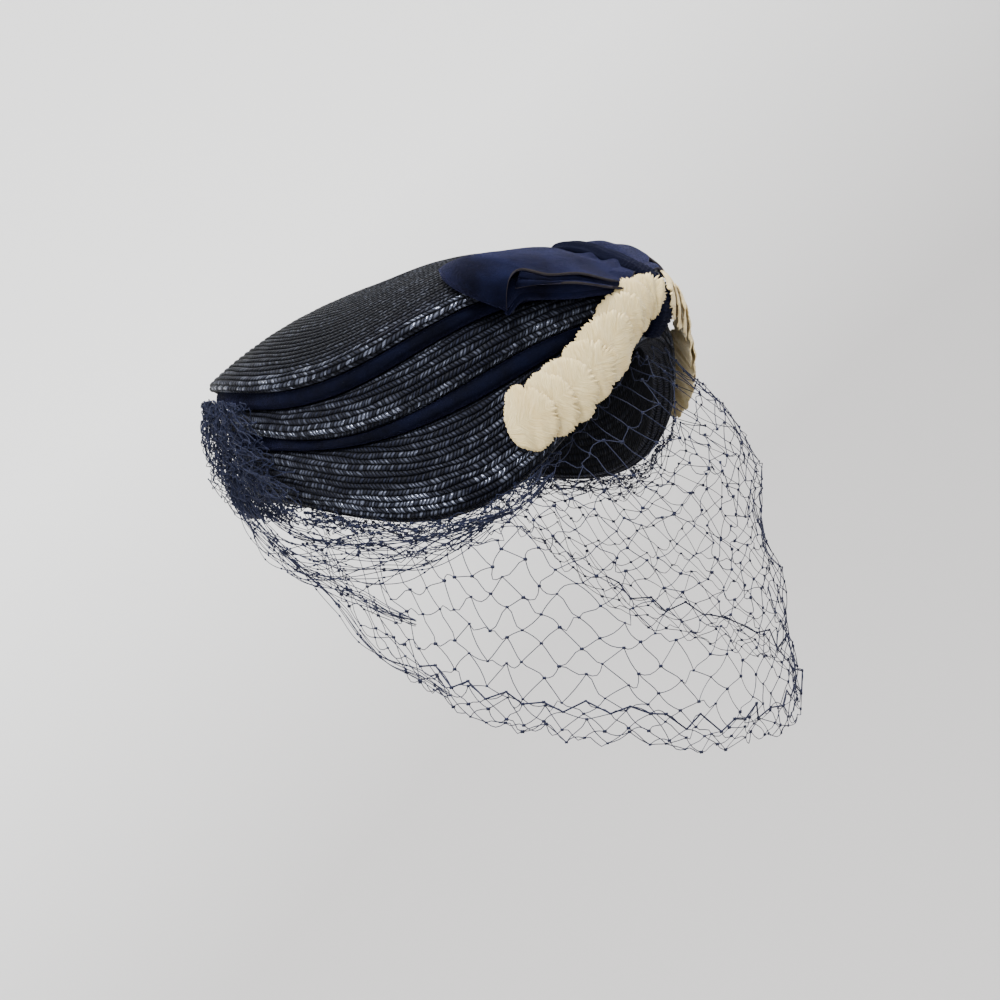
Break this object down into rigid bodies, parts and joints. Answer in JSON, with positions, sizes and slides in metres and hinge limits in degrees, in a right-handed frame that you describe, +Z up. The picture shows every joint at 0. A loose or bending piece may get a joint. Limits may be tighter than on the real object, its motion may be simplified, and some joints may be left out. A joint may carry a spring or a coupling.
{
  "type": "pillbox hat",
  "caption": "Shallow tiered straw pillbox hat with velvet bands, a velvet bow, two cream feather pads and a hanging net veil.",
  "frame": {"origin": "the inside top of the hollow at the middle of the plan, where the hat sits on a head", "axes": "+Z up as worn, -Y to the front of the hat, +X to the wearer's left; the hat's own base is tipped 19 degrees, front up"},
  "size_m": [0.1804, 0.2464, 0.1979],
  "materials": {
    "straw": "glossy woven navy straw braid",
    "velvet": "navy velvet pile",
    "feather": "cream clipped feathers, satin",
    "net": "navy net thread"
  },
  "bodies": {
    "root": {"straw_crown": "straw", "upper_velvet_band": "velvet", "lower_velvet_band": "velvet", "bow_right_loop": "velvet", "bow_left_loop": "velvet", "bow_knot": "velvet", "right_feather_pad": "feather", "left_feather_pad": "feather", "veil": "net", "veil_gather": "net"}
  },
  "joints": []
}
